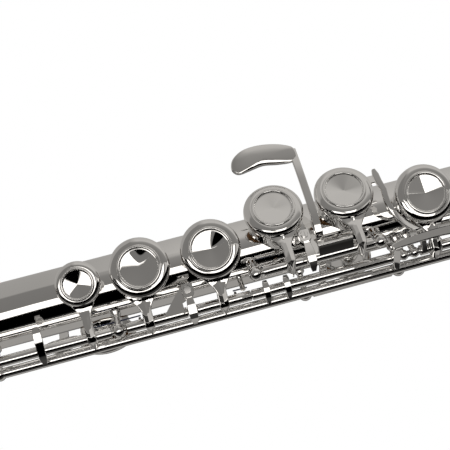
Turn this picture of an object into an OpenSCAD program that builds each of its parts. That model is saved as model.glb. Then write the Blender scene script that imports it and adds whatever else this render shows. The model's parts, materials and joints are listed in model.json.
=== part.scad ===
// Concert flute, closed holes, offset G keys, C foot.
// Millimetres. The tube lies along X with the head joint at -X, the keys point to +Z and the
// hinge rods are on the player's side, -Y. The origin is on the tube axis at the foot's open end.

/* [Tubes] */
// Outer radius of the body and foot tubes
tube_r = 9.9; // [9.85:0.05:9.95]
// Bore radius
bore_r = 9.5; // [9.4:0.05:9.55]
// Outer radius of the head tube at the crown
head_r = 8.9; // [8.85:0.05:9]
// Bore radius of the head tube at the stopper
head_bore_r = 8.5; // [8.4:0.05:8.55]
// Length of the head joint that slides into the barrel
tenon_len = 42; // [40:1:44]
// Distance from the foot's end to the embouchure hole
mouth_x = 599; // [597:1:601]
// Distance from the foot's end to the crown end of the head tube
head_end = 652; // [650:1:656]
// Distance from the foot's end to the head end of the body tube
body_end = 436; // [434:1:438]
// Length of the foot joint
foot_len = 128; // [127:0.5:128.5]

/* [Tone holes and cups] */
// Height of a tone hole rim above the tube axis
rim_h = 12.3; // [12.2:0.05:12.4]
// Inner radius of a main tone hole
hole_r = 7; // [6.6:0.1:7]
// Outer radius of a main key cup
cup_r = 9; // [8.9:0.05:9]
// Outer radius of the first-finger touch cup
c_cup_r = 6.7; // [6.5:0.1:6.8]
// Outer radius of a small cup
small_cup_r = 5.3; // [5.2:0.1:5.4]
// Inner radius of a small tone hole
small_hole_r = 3.6; // [3.4:0.1:3.8]
// Angle an open-standing key is lifted at rest
open_a = 10; // [9:0.5:10]

/* [Rods] */
// Distance of the main rod behind the tube axis
rod_y = 15.8; // [15.8:0.05:15.9]
// Height of the main rod
rod_z = 8; // [7.95:0.05:8.05]
// Angle the offset G keys are turned to the far side
g_turn = 24; // [23.5:0.5:24.5]
// Outer radius of a hinge tube
hinge_r = 1.6; // [1.55:0.05:1.6]
// Radius of a hinge steel
steel_r = 1; // [0.95:0.05:1]
// Radius of a post ball
ball_r = 2.15; // [2:0.05:2.15]

/* [Key places, from the foot's end] */
// First-finger touch
c_x = 328.3; // [328.2:0.1:328.4]
// B flat key
b_flat_x = 309.9; // [309.8:0.1:310]
// A key
a_x = 288.4; // [288.3:0.1:288.5]
// Upper G key
upper_g_x = 267.1; // [267:0.1:267.2]
// Lower G key
lower_g_x = 245; // [244.9:0.1:245]
// F sharp key
f_sharp_x = 222; // [221.9:0.1:222]
// F key
f_x = 194; // [193.5:0.5:194.5]
// E key
e_x = 166; // [165.5:0.5:166.5]
// D key
d_x = 136.5; // [136.5:0.1:136.8]
// Thumb key
thumb_x = 325.1; // [325:0.1:325.3]
// Small C sharp key
c_sharp_x = 361; // [360.8:0.1:361.2]
// D trill key
d_trill_x = 374.5; // [374.3:0.1:374.7]
// D sharp trill key
d_sharp_trill_x = 388.6; // [388.4:0.1:388.8]
// Foot C key
foot_c_x = 37; // [36.5:0.5:37.5]
// Foot C sharp key
foot_c_sharp_x = 71.5; // [71:0.5:72]
// Foot D sharp key
foot_d_sharp_x = 104; // [103.8:0.1:104.2]

/* [Hidden] */
$fn = 48;
gap = 0.05;
solder = 0.02;
seat = rim_h + gap;
pad_h = 1.85;
bore = steel_r + gap;
sleeve_r = 10.9;
post_foot_r = 1.6;
fit_r = tube_r + gap;
tenon_end = 112.9;
barrel_end = body_end + tenon_len;
rib_r = 10.6;
main_rod = [-rod_y, rod_z];
trill_rod = [-18.4, 4];
far_rod = [rod_y, rod_z];
main_a = atan2(rod_y, rod_z);
thumb_a = 124;
g_sharp_a = 150;
back_arm = 12.5;
back_rod = [-back_arm, rim_h];
front_rod = [back_arm, rim_h];
thumb_open = 7;
silver = [0.78, 0.78, 0.76];
bright = [0.86, 0.86, 0.84];
amber = [0.62, 0.42, 0.20];
blued = [0.16, 0.17, 0.22];
cork_brown = [0.72, 0.56, 0.38];
// Main holes of the body: [distance, angle from the top towards the rods]
main_holes = [
    [b_flat_x, 0], [a_x, 0], [upper_g_x, -g_turn], [lower_g_x, -g_turn], [f_sharp_x, 0],
    [f_x, 0], [e_x, 0], [d_x, 0], [thumb_x, thumb_a], [lower_g_x, g_sharp_a]];
small_holes = [c_sharp_x, d_trill_x, d_sharp_trill_x];
foot_holes = [foot_c_x, foot_c_sharp_x, foot_d_sharp_x];
// Distances of the posts on the main rod with their ball radii
main_posts = [[368, ball_r], [320.3, ball_r], [231.9, 1.65], [228.4, 1.65], [131, ball_r]];
trill_ends = [395, 153];
trill_middles = [357.5, 209.5];
g_posts = [277.2, 238.6];
thumb_posts = [344.2, 307.2];
g_sharp_posts = [262.2, 231.6];
foot_near_posts = [115.6, 96.8];
foot_far_posts = [96.8, 27.5];
// Needle springs under the rods: [where one is held, where it ends]
main_needles = [[320.3, 327.4], [320.3, 313.2], [281.5, 284.6], [228.4, 219.2], [153, 158.4], [153, 142.2]];
g_needles = [[277.2, 270], [238.6, 241.6]];
spring_studs = [281.5, 153];
spring_line = main_rod + [3.2, -1.9];

// ---- placing ----

// A solid rod along X between two distances from the foot's end
module along(x1, x2, r) {
    translate([-max(x1, x2), 0, 0])
        rotate([0, 90, 0])
            cylinder(r = r, h = abs(x2 - x1));
}

// The same rod on a hinge line, [y, z]
module on_rod(rod, x1, x2, r) {
    translate([0, rod[0], rod[1]])
        along(x1, x2, r);
}

// Children turned by angle a about a hinge line; positive lifts their +Y side
module turned(rod, a) {
    translate([0, rod[0], rod[1]])
        rotate([a, 0, 0])
            translate([0, -rod[0], -rod[1]])
                children();
}

// Children turned about the tube axis, a measured from the top towards the rods
module around(a) {
    rotate([a, 0, 0])
        children();
}

// Children drawn about a cup's centre, moved to a cup at distance x
module at_cup(x) {
    translate([-x, 0, seat])
        children();
}

// Upright slab, w wide along X, centred at distance x, whose side view is pts in [y, z]
module slab(x, w, pts) {
    translate([-x - w / 2, 0, 0])
        rotate([90, 0, 90])
            linear_extrude(w)
                polygon(pts);
}

// Flat plate whose plan is pts in [distance, y], between two heights
module plate(z1, z2, pts) {
    translate([0, 0, z1])
        linear_extrude(z2 - z1)
            polygon([for (p = pts) [-p[0], p[1]]]);
}

// ---- shared shapes ----

// Cup with a rolled rim, a sloping shoulder and a shallow conical dish; z = 0 is the pad's seat
module cup(r) {
    ring = r * 0.7;
    shoulder = r - ring - 0.5;
    rotate_extrude($fn = 96)
        polygon(concat(
            [[0, 0.6], [r, 0.6], [r, 1.7]],
            [for (a = [15 : 15 : 90]) [ring + 0.5 + shoulder * cos(a), 1.7 + 1.95 * sin(a)]],
            [[ring + 0.35, 4], [ring + 0.15, 4.1], [ring - 0.1, 3.95], [ring - 0.2, 3.6], [0, 2.8]]));
}

// Room for the pad inside a cup
module pocket(r) {
    cylinder(r = r - 0.5, h = pad_h + gap, $fn = 96);
}

// Pad: a disc with a softened lower edge that fits inside a cup
module pad(r) {
    pr = r - 0.6;
    rotate_extrude($fn = 96)
        polygon([[0, 0], [pr - 0.6, 0], [pr - 0.15, 0.2], [pr, 0.65], [pr, pad_h], [0, pad_h]]);
}

// Pointed arm between a cup at y = 0 and a hinge line behind it. Its plan has wings of half width w
// at y = -y1 that run in concave flanks to a waist of half width n at y = -y2, then to a pointed
// tail; its side view follows the slope from the cup over the hinge tube.
module pointed_arm(x, w, n, y1, y2) {
    flank = [for (a = [0 : 15 : 90]) [w - (w - n) * cos(a), y2 - (y2 - y1) * sin(a)]];
    half = concat([[0.5, rod_y + 3], [n, rod_y + 1.6]], flank, [[w - 0.8, y1 - 1.2]]);
    tip = [[0, -rod_y - 3.7]];
    right = [for (p = half) [p[0], -p[1]]];
    left = [for (i = [len(half) - 1 : -1 : 0]) [-half[i][0], -half[i][1]]];
    intersection() {
        plate(0, 30, [for (p = concat(tip, right, left)) [x + p[0], p[1]]]);
        slab(x, 2 * w + 2, arm_side());
    }
}

// Side view of a pointed arm, [y, z]
function arm_side() = [
    [-4, seat + 3], [-7.6, seat + 2.9], [-9.4, seat + 2.4], [-11.2, seat + 1.3], [-13, 11.7],
    [-14.4, 10.5], [-15.8, 9.95], [-17.2, 9.5], [-18.5, 8.5], [-19.6, 7.2],
    [-18.6, 6.9], [-17.2, 7.1], [-15.8, 7.6], [-14.5, 8.9], [-12.8, 10.3],
    [-11.2, 12], [-9.6, seat + 0.9], [-4, seat + 0.9]];

// Key with one cup on the main rod line: hinge tube between two distances and a pointed arm.
// Children are extra arms or lugs, drawn with the key closed.
module main_key(x, x1, x2, arm_x) {
    difference() {
        union() {
            on_rod(main_rod, x1, x2, hinge_r);
            at_cup(x)
                cup(cup_r);
            pointed_arm(arm_x, 5, 1.5, 7.9, 12.8);
            children();
        }
        at_cup(x)
            pocket(cup_r);
        on_rod(main_rod, x1 - 1, x2 + 1, bore);
    }
}

// Arm that holds an adjusting screw above the next key's lug
module screw_arm(x) {
    difference() {
        union() {
            slab(x, 2, [
                [-19.5, 7.2], [-18.4, 8.6], [-17.2, 9.5], [-15.8, 10], [-13, 11.8], [-11.2, 12.3],
                [-10.6, 12.3], [-10.6, 11.3], [-11.2, 11.3], [-13, 10.7], [-15, 9.2],
                [-16, 7.6], [-17.2, 7.1], [-18.6, 6.9]]);
            plate(11.3, 12.3, [[x - 1.7, -11.2], [x + 1.7, -11.2], [x + 1.7, -7.8], [x - 1.7, -7.8]]);
        }
        translate([-x, -9.5, 11])
            cylinder(r = 0.8, h = 2);
    }
}

// Slotted adjusting screw in a screw arm
module adjusting_screw(x) {
    translate([-x, -9.5, 0])
        difference() {
            union() {
                translate([0, 0, 10.2])
                    cylinder(r = 0.75, h = 2.4);
                translate([0, 0, 12.35])
                    cylinder(r = 1.15, h = 0.45);
            }
            translate([-0.15, -2, 12.6])
                cube([0.3, 4, 1]);
        }
}

// Flat lug that starts on a hinge tube between r1 and r2 and ends under a screw at distance x
module lug(r1, r2, x) {
    side = sign(r1 - x);
    near = x - side * 1.5;
    plate(9.15, 10.15, [
        [r1, -15.8], [r1, -15], [x + side * 1.4, -8.2], [near, -8.2], [near, -11.8],
        [r2, -13], [r2, -15.8]]);
}

// Small catch a needle spring bears on
module spring_catch(x) {
    translate([-x, -rod_y, rod_z])
        rotate([135 + 90, 0, 0])
            cylinder(r = 0.4, h = 3.3, $fn = 24);
}

// Ball post that stands on a surface of radius base_r and carries hinge line rod, [y, z]
module post(x, rod, base_r, r) {
    reach = norm(rod);
    around(atan2(-rod[0], rod[1]))
        translate([-x, 0, base_r + solder]) {
            cylinder(r = 0.95, h = reach - base_r - 1, $fn = 32);
            cylinder(r = post_foot_r, h = 0.6, $fn = 32);
            translate([0, 0, 0.6])
                cylinder(r1 = post_foot_r, r2 = 0.95, h = 0.8, $fn = 32);
            translate([0, 0, reach - base_r])
                sphere(r = r);
        }
}

// Round tone holes: chimneys with rolled rims
module chimney(r) {
    cylinder(r = r + 0.55, h = rim_h - 0.3, $fn = 72);
    translate([0, 0, rim_h - 0.9])
        cylinder(r = r + 0.8, h = 0.9, $fn = 72);
}

// ---- head joint ----

// Rounded plan of the embouchure hole, grown by g
function mouth_plan(g) = [for (a = [0 : 10 : 350]) let (c = cos(a), s = sin(a))
    [(6.1 + g) * sign(c) * pow(abs(c), 0.8), (5.2 + g) * sign(s) * pow(abs(s), 0.8)]];

module mouth_prism(g) {
    translate([-mouth_x, 0, 0])
        linear_extrude(30)
            polygon(mouth_plan(g));
}

module head_tube() {
    color(silver)
        difference() {
            rotate([0, -90, 0])
                rotate_extrude($fn = 96)
                    polygon([
                        [bore_r, body_end + 0.3], [tube_r, body_end + 0.3], [tube_r, barrel_end + 6],
                        [tube_r - 0.2, barrel_end + 12], [head_r + 0.3, mouth_x - 40], [head_r, mouth_x],
                        [head_r, head_end], [head_bore_r, head_end], [head_bore_r, mouth_x - 6],
                        [bore_r - 0.2, barrel_end]]);
            mouth_prism(0);
        }
}

module riser() {
    color(silver)
        difference() {
            intersection() {
                mouth_prism(1.1);
                along(mouth_x - 20, mouth_x + 20, 13.3 - solder);
            }
            along(mouth_x - 21, mouth_x + 21, head_r + 0.1);
            mouth_prism(0);
        }
}

module lip_plate() {
    color(bright)
        difference() {
            intersection() {
                along(mouth_x - 30, mouth_x + 30, 14.3);
                translate([-mouth_x, 0, 0])
                    linear_extrude(30)
                        polygon([for (a = [0 : 5 : 355]) [25 * cos(a), 12.8 * sin(a)]]);
            }
            along(mouth_x - 31, mouth_x + 31, 13.3);
            mouth_prism(0);
        }
}

module crown() {
    color(bright)
        rotate([0, -90, 0])
            rotate_extrude($fn = 96)
                polygon(concat(
                    [[2.05, head_end - 4], [head_bore_r - gap, head_end - 4],
                        [head_bore_r - gap, head_end + gap], [9.5, head_end + gap],
                        [9.9, head_end + 0.6], [9.9, head_end + 1.6], [9.5, head_end + 2.2],
                        [9.5, head_end + 5]],
                    [for (a = [15 : 15 : 75]) [9.5 - 3.4 * (1 - cos(a)), head_end + 5 + 2.6 * sin(a)]],
                    [[4, head_end + 8.2], [0, head_end + 8.5], [0, head_end + 5.5],
                        [2.05, head_end + 5.5]]));
}

module stopper_cork() {
    color(cork_brown)
        difference() {
            along(618, 633, head_bore_r - gap);
            along(617, 634, 2.05);
        }
}

module stopper_screw() {
    color(silver) {
        along(616.8, 656, 2);
        along(616.7, 617.9, head_bore_r - 0.1);
        along(633.1, 634.3, head_bore_r - 0.1);
    }
}

// ---- body ----

module body_tube() {
    color(silver)
        difference() {
            union() {
                along(tenon_end, body_end, tube_r, $fn = 96);
                for (h = main_holes)
                    around(h[1])
                        translate([-h[0], 0, 0])
                            chimney(hole_r);
                for (x = small_holes)
                    translate([-x, 0, 0])
                        chimney(small_hole_r);
            }
            along(tenon_end - 1, body_end + 1, bore_r);
            for (h = main_holes)
                around(h[1])
                    translate([-h[0], 0, 0])
                        cylinder(r = hole_r, h = 20, $fn = 72);
            for (x = small_holes)
                translate([-x, 0, 0])
                    cylinder(r = small_hole_r, h = 20, $fn = 72);
        }
}

module barrel() {
    color(bright)
        rotate([0, -90, 0])
            rotate_extrude($fn = 96)
                polygon([
                    [fit_r, body_end - 10], [sleeve_r - 0.4, body_end - 10], [sleeve_r, body_end - 9],
                    [sleeve_r, body_end - 8], [sleeve_r - 0.4, body_end - 7],
                    [sleeve_r - 0.4, barrel_end - 6], [sleeve_r + 0.3, barrel_end - 5.4],
                    [sleeve_r + 0.7, barrel_end - 4.6], [sleeve_r + 0.7, barrel_end - 1.4],
                    [sleeve_r + 0.3, barrel_end - 0.4], [sleeve_r, barrel_end], [fit_r, barrel_end]]);
}

// Strap along the tube that carries the posts, cut away beside the thumb hole
module rod_rib() {
    color(silver)
        difference() {
            rotate([0, -90, 0])
                translate([0, 0, 130])
                    rotate([0, 0, -83])
                        rotate_extrude(angle = 33, $fn = 144)
                            translate([tube_r + solder, 0])
                                square([rib_r - tube_r - solder, 268]);
            around(thumb_a)
                translate([-thumb_x, 0, 0])
                    cylinder(r = hole_r + 0.7, h = 20, $fn = 72);
        }
}

module posts() {
    color(bright)
        difference() {
            union() {
                for (p = main_posts)
                    post(p[0], main_rod, rib_r, p[1]);
                for (x = concat(trill_ends, trill_middles))
                    post(x, trill_rod, rib_r, ball_r);
                around(-g_turn)
                    for (x = g_posts)
                        post(x, main_rod, tube_r, ball_r);
                around(thumb_a)
                    for (x = thumb_posts)
                        post(x, back_rod, tube_r, ball_r);
                around(g_sharp_a)
                    for (x = g_sharp_posts)
                        post(x, front_rod, tube_r, ball_r);
                around(main_a)
                    for (x = spring_studs)
                        translate([-x, 0, rib_r + solder])
                            cylinder(r = 0.8, h = norm(main_rod) - rib_r - 3.1, $fn = 32);
            }
            needles(0.24);
            on_rod(main_rod, 125, 372, bore);
            on_rod(trill_rod, 149, 399, bore);
            for (x = trill_middles)
                on_rod(trill_rod, x - 4, x + 4, hinge_r + gap);
            around(-g_turn)
                on_rod(main_rod, 234, 282, bore);
            around(thumb_a)
                on_rod(back_rod, 303, 349, bore);
            around(g_sharp_a)
                on_rod(front_rod, 227, 267, bore);
        }
}

// Needle springs of radius r; each starts a little behind the post or stud that holds it
module needles(r) {
    for (n = main_needles)
        on_rod(spring_line, n[0] - sign(n[1] - n[0]) * 1.3, n[1], r, $fn = 24);
    around(-g_turn)
        for (n = g_needles)
            on_rod(spring_line, n[0] - sign(n[1] - n[0]) * 1.3, n[1], r, $fn = 24);
}

module needle_springs() {
    color(blued)
        needles(0.22);
}

module main_steels() {
    color(silver) {
        on_rod(main_rod, 322.4 - 4.2, 370, steel_r);
        on_rod(main_rod, 230.2, 317.9, steel_r);
        on_rod(main_rod, 129, 229.9, steel_r);
    }
}

module g_steel() {
    color(silver)
        around(-g_turn)
            on_rod(main_rod, 236.5, 279.3, steel_r);
}

module back_steels() {
    color(silver) {
        around(thumb_a)
            on_rod(back_rod, 305.1, 346.3, steel_r);
        around(g_sharp_a)
            on_rod(front_rod, 229.5, 264.3, steel_r);
    }
}

// ---- left-hand keys ----

// First-finger touch and small C sharp cup on one hinge tube
module c_key() {
    color(bright)
        turned(main_rod, open_a)
            difference() {
                union() {
                    on_rod(main_rod, 322.6, 365.7, hinge_r);
                    at_cup(c_x)
                        cup(c_cup_r);
                    at_cup(c_sharp_x)
                        cup(small_cup_r);
                    pointed_arm(c_x, 3.4, 1.3, 5.4, 11.5);
                    pointed_arm(c_sharp_x, 2.8, 1.2, 4.4, 11.5);
                    slab(343.5, 2.4, [
                        [-19.6, 7.2], [-18.5, 8.6], [-17.2, 9.6], [-15.8, 10], [-12, 11.2], [-8.9, 10.9],
                        [-8.7, 9.9], [-12, 9.9], [-14.6, 8.4], [-16, 7.6], [-17.2, 7.1], [-18.6, 6.9]]);
                    spring_catch(327);
                }
                at_cup(c_sharp_x)
                    pocket(small_cup_r);
                on_rod(main_rod, 321, 367, bore);
            }
}

module c_sharp_pad() {
    color(amber)
        turned(main_rod, open_a)
            at_cup(c_sharp_x)
                pad(small_cup_r);
}

module b_flat_key() {
    color(bright)
        turned(main_rod, open_a)
            main_key(b_flat_x, 299.4, 317.9, 311) {
                lug(306, 300.2, 298.5);
                spring_catch(313.6);
            }
}

module a_key() {
    color(bright)
        turned(main_rod, open_a)
            main_key(a_x, 279.8, 299.2, a_x) {
                screw_arm(298.5 - 0.6);
                spring_catch(284.1);
            }
}

module a_screw() {
    color(silver)
        turned(main_rod, open_a)
            adjusting_screw(298.5 - 0.6);
}

// ---- offset G keys ----

module upper_g_key() {
    color(bright)
        around(-g_turn)
            turned(main_rod, open_a)
                main_key(upper_g_x, 259, 274.9, upper_g_x - 0.4) {
                    screw_arm(260.4);
                    spring_catch(270.6);
                }
}

module g_screw() {
    color(silver)
        around(-g_turn)
            turned(main_rod, open_a)
                adjusting_screw(260.4);
}

// Lower G key: a tongue under the upper key's screw, a stiffening strip on the hinge tube and a tab
// on the cup for the split-E lever
module lower_g_key() {
    color(bright)
        around(-g_turn)
            turned(main_rod, open_a)
                main_key(lower_g_x, 240.9, 258.8, lower_g_x) {
                    plate(9.15, 10.15, [
                        [257.4, -15.8], [258.8, -15.8], [258.8, -13], [261.9, -11.8], [261.9, -8.2],
                        [258.9, -8.2], [257.4, -12.4]]);
                    slab(252.4, 10.8, [[-16.4, 9], [-15.8, 10.4], [-14.6, 13], [-13.8, 12.8], [-14.8, 9]]);
                    plate(seat + 0.6, seat + 1.8, [
                        [lower_g_x - 8.6, 0.8], [lower_g_x - 8.6, 3.6], [232.8, 3.6], [232.8, 0.8]]);
                    spring_catch(242.2);
                }
}

// G sharp key: hinged above its cup on the underside, with a lever that passes between the G cups
module g_sharp_key() {
    path = [
        [24, 15.6], [21, 16.6], [10, 17.7], [2, 18.2], [-4.6, 17.2], [-6.2, 15.6], [-10.1, 10.6],
        [-13.9, 4.3], [-15.4, -3], [-17, -3.2], [-18.1, -4.4], [-17, -5.6],
        [-14, -4.4], [-12.9, 3.7], [-8.9, 9.8], [-4.6, 15.4], [-3.6, 16.2], [2, 17.1], [10, 16.6],
        [20.8, 15.4], [24, 14.8]];
    color(bright)
        difference() {
            union() {
                around(g_sharp_a) {
                    on_rod(front_rod, 234, 259.8, hinge_r);
                    at_cup(lower_g_x)
                        cup(cup_r - 0.5);
                    slab(lower_g_x, 3, [
                        [12.5, 13.7], [9, seat + 2.6], [5, seat + 3.2], [5, seat + 2.2],
                        [8.6, seat + 0.8], [10.6, 11.4], [12.5, 11]]);
                }
                slab(256, 2.3, path);
                g_sharp_touch();
            }
            around(g_sharp_a) {
                on_rod(front_rod, 233, 261, bore);
                at_cup(lower_g_x)
                    pocket(cup_r - 0.5);
            }
        }
}

// Teardrop touch of the G sharp lever: round near the lever, drawn out towards the head joint
module g_sharp_touch() {
    translate([0, 0, 15])
        linear_extrude(1.3)
            polygon(concat(
                [for (a = [-90 : 15 : 75]) [-257.2 + 2.6 * cos(a), 21.4 + 2.6 * sin(a)]],
                [[-262, 25.4], [-267, 26.6], [-271.5, 26], [-274.6, 23.4], [-275.2, 21],
                    [-273.4, 19.9], [-270, 20.6], [-266, 21], [-262, 20]]));
}

module g_sharp_pad() {
    color(amber)
        around(g_sharp_a)
            at_cup(lower_g_x)
                pad(cup_r - 0.5);
}

// Split-E lever: curves round the F sharp cup and ends over the lower G key's tab
module split_e_lever() {
    inner = 11.3;
    outer = 13;
    color(bright)
        difference() {
            union() {
                on_rod(main_rod, 224.2, 226.6, hinge_r);
                intersection() {
                    plate(0, 30, concat(
                        [[224.4, -16.4], [226.5, -16.4], [226.5, -13]],
                        [for (a = [200 : 15 : 275]) [f_sharp_x - outer * sin(a), outer * cos(a)]],
                        [[235.8, 6], [235, 10.4], [233.9, 10.6], [233.6, 6]],
                        [for (a = [275 : -15 : 200]) [f_sharp_x - inner * sin(a), inner * cos(a)]],
                        [[224.4, -13]]));
                    slab(229, 20, [
                        [-17, 8], [-16, 9.8], [-14, 12.4], [-12.2, 13.9], [-10.4, 16.2], [-6, 18.6],
                        [2, 19.7], [12, 19.2], [12, 18], [2, 18.4], [-5.6, 17.3], [-9.4, 15.2],
                        [-11.4, 12.8], [-13, 11], [-14.4, 8.6]]);
                }
            }
            on_rod(main_rod, 223, 228, bore);
        }
}

// Side B flat lever: long touch bar over the F sharp arm, with two pointed arms on its hinge tube
module side_b_flat_lever() {
    color(bright)
        difference() {
            union() {
                on_rod(main_rod, 233.8, 279.5, hinge_r);
                slab(234.8, 2.2, [
                    [-19.6, 7.2], [-18.3, 9], [-17.2, 11.6], [-16, 17], [-14.8, 17], [-14.2, 15.8],
                    [-14.4, 11], [-14.4, 8.4], [-16, 7.6], [-17.2, 7.1], [-18.6, 6.9]]);
                plate(15.9, 17, concat(
                    [[235.9, -15.9], [235.9, -13.4]],
                    [[232, -12.2], [224, -11.9], [214, -12.2], [206, -12.4], [198, -12.6]],
                    [for (a = [60 : -30 : -60]) [198 - 2.3 * cos(a), -14.9 + 2.3 * sin(a)]],
                    [[206, -17], [214, -15.8], [224, -15.1], [232, -15.2]]));
                for (x = [275, 268.6])
                    slab(x, 1.9, [
                        [-19.4, 7.2], [-18.3, 8.7], [-17, 9.7], [-15.4, 9.8], [-13.6, 10.3], [-12.9, 9.6],
                        [-14.4, 8.4], [-16, 7.6], [-17.2, 7.1], [-18.6, 6.9]]);
            }
            on_rod(main_rod, 233, 281, bore);
        }
}

// ---- thumb keys ----

module thumb_b_key() {
    color(bright)
        around(thumb_a)
            turned(back_rod, thumb_open)
                difference() {
                    union() {
                        on_rod(back_rod, 309.5, 335.6, hinge_r);
                        at_cup(thumb_x)
                            cup(cup_r);
                        slab(thumb_x, 4, [
                            [-12.5, 13.8], [-9, seat + 2.8], [-5.5, seat + 3.6], [-5.5, seat + 2.4],
                            [-8.6, seat + 0.8], [-10.8, 11.6], [-12.5, 11]]);
                    }
                    at_cup(thumb_x)
                        pocket(cup_r);
                    on_rod(back_rod, 308, 337, bore);
                }
}

module thumb_b_pad() {
    color(amber)
        around(thumb_a)
            turned(back_rod, thumb_open)
                at_cup(thumb_x)
                    pad(cup_r);
}

module thumb_b_flat_lever() {
    color(bright)
        around(thumb_a)
            difference() {
                union() {
                    on_rod(back_rod, 335.9, 341.9, hinge_r);
                    slab(339, 3, [
                        [-12.5, 13.8], [-9, 15], [-4, 15.4], [3, 15.2], [3, 14.3], [-4, 14.3],
                        [-8.6, 13.4], [-11, 11.6], [-12.5, 11]]);
                    plate(14.2, 15.4, concat(
                        [[344, -5], [334.8, -5]],
                        [for (a = [0 : 30 : 180]) [339.4 - 4.6 * cos(a), 1 + 2.6 * sin(a)]]));
                }
                on_rod(back_rod, 334, 344, bore);
            }
}

// ---- right-hand keys ----

// F sharp key with the bar that runs under the F, E and D arms
module f_sharp_key() {
    color(bright)
        turned(main_rod, open_a)
            main_key(f_sharp_x, 207.8, 224, f_sharp_x + 0.3) {
                lug(214, 208.6, 206.4);
                slab(178.5, 88, [[-13.1, 7.5], [-13.1, 8.6], [-11.6, 8.6], [-11.6, 7.5]]);
                slab(220.6, 2, [[-15.8, 9.5], [-12, 8.5], [-12, 7.6], [-15.8, 6.5]]);
                spring_catch(218.8);
            }
}

module f_key() {
    color(bright)
        turned(main_rod, open_a)
            main_key(f_x, 180.9, 207.5, f_x) {
                screw_arm(206);
            }
}

module f_screw() {
    color(silver)
        turned(main_rod, open_a)
            adjusting_screw(206);
}

module e_key() {
    color(bright)
        turned(main_rod, open_a)
            main_key(e_x, 152.1, 180.6, e_x)
                spring_catch(158);
}

module d_key() {
    color(bright)
        turned(main_rod, open_a)
            main_key(d_x, 133.3, 151.8, d_x)
                spring_catch(142.6);
}

// Pad of a key on the main rod line
module main_pad(x) {
    color(amber)
        turned(main_rod, open_a)
            at_cup(x)
                pad(cup_r);
}

module g_pad(x) {
    around(-g_turn)
        main_pad(x);
}

// ---- trill keys ----

module trill_pad(x) {
    color(amber)
        at_cup(x)
            pad(small_cup_r);
}

// Small cup with an arm from the trill rod
module trill_cup(x) {
    at_cup(x)
        cup(small_cup_r);
    slab(x, 2.4, [
        [-18.4, 5.5], [-18.6, 8], [-16, 12.2], [-12, 15], [-7, 16.3], [-2.5, 16.3], [-2.5, 15.4],
        [-7, 15], [-11.4, 13.9], [-15, 11.2], [-17, 7.6], [-17, 4]]);
}

// Touch on the player's side of the trill rod
module trill_touch(x) {
    slab(x, 2.4, [[-17.6, 5.4], [-20, 6.6], [-23, 8.3], [-23.4, 7.3], [-20, 5.2], [-18.4, 2.5]]);
    translate([-x, -24.6, 7.4])
        linear_extrude(1.1)
            polygon([for (a = [0 : 10 : 350]) [5.2 * cos(a), 2.9 * sin(a)]]);
}

module d_trill_key() {
    color(bright)
        difference() {
            union() {
                on_rod(trill_rod, 178, 376.6, hinge_r);
                trill_cup(d_trill_x);
                trill_touch(180.4);
            }
            at_cup(d_trill_x)
                pocket(small_cup_r);
            on_rod(trill_rod, 150, 400, bore);
        }
}

module d_sharp_trill_key() {
    color(bright)
        difference() {
            union() {
                on_rod(trill_rod, 151, 397, steel_r);
                on_rod(trill_rod, 376.9, 392.6, hinge_r);
                on_rod(trill_rod, 155.4, 168, hinge_r);
                trill_cup(d_sharp_trill_x);
                trill_touch(161);
            }
            at_cup(d_sharp_trill_x)
                pocket(small_cup_r);
        }
}

// ---- foot joint ----

module foot_tube() {
    color(silver)
        difference() {
            union() {
                rotate([0, -90, 0])
                    rotate_extrude($fn = 96)
                        polygon([
                            [0, 0], [10.4, 0], [10.7, 0.6], [10.7, 1.8], [10.4, 2.4], [tube_r, 2.6],
                            [tube_r, tenon_end - 1], [sleeve_r - 0.4, tenon_end - 0.4],
                            [sleeve_r - 0.4, foot_len - 3], [sleeve_r, foot_len - 2.4],
                            [sleeve_r, foot_len - 0.4], [sleeve_r - 0.4, foot_len], [0, foot_len]]);
                for (x = foot_holes)
                    translate([-x, 0, 0])
                        chimney(hole_r);
            }
            along(-1, tenon_end, bore_r);
            along(tenon_end - 0.2, foot_len + 1, fit_r);
            for (x = foot_holes)
                translate([-x, 0, 0])
                    cylinder(r = hole_r, h = 20, $fn = 72);
        }
}

module foot_posts() {
    color(bright)
        difference() {
            union() {
                post(foot_near_posts[0], main_rod, sleeve_r - 0.4, ball_r);
                post(foot_near_posts[1], main_rod, tube_r, ball_r);
                for (x = foot_far_posts)
                    post(x, far_rod, tube_r, ball_r);
            }
            on_rod(main_rod, 92, 119, bore);
            on_rod(far_rod, 23, 101, bore);
        }
}

module foot_steel() {
    color(silver)
        on_rod(main_rod, 94.7, 117.7, steel_r);
}

module foot_d_sharp_key() {
    color(bright)
        main_key(foot_d_sharp_x, 99.1, 113.3, foot_d_sharp_x) {
            slab(110.6, 3, [
                [-15.8, 9.5], [-19, 11.2], [-23, 12.4], [-23, 11.3], [-19.4, 9.9], [-17.2, 7.6]]);
            translate([0, 0, 11.4])
                linear_extrude(1.2)
                    polygon(concat(
                        [for (a = [-60 : 20 : 60]) [-108 + 3.2 * cos(a), -21.6 + 3.2 * sin(a)]],
                        [[-110, -18.2], [-114, -18.4], [-118, -20.4], [-120.4, -24], [-120.2, -27.4],
                            [-117.6, -29], [-113, -28], [-109, -25.4]]));
        }
}

module foot_d_sharp_pad() {
    color(amber)
        at_cup(foot_d_sharp_x)
            pad(cup_r);
}

// Key hinged on the far side: the main key turned end for end
module far_side() {
    rotate([0, 0, 180])
        children();
}

// Touch arm from the far rod over the tube to the player's side, w wide at distance x
module crossing_arm(x, w, reach) {
    end_z = 13.2 - (reach - 17) * 0.53;
    slab(x, w, [
        [17, 7], [17, 9], [14, 12.8], [10, 15], [0, 15.8], [-12, 14.6], [-17, 13.2],
        [-reach, end_z], [-reach, end_z - 1.2], [-17, 12], [-12, 13.4], [0, 14.6], [9.4, 13.8],
        [13, 11.6], [15, 8], [16, 7]]);
}

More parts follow.
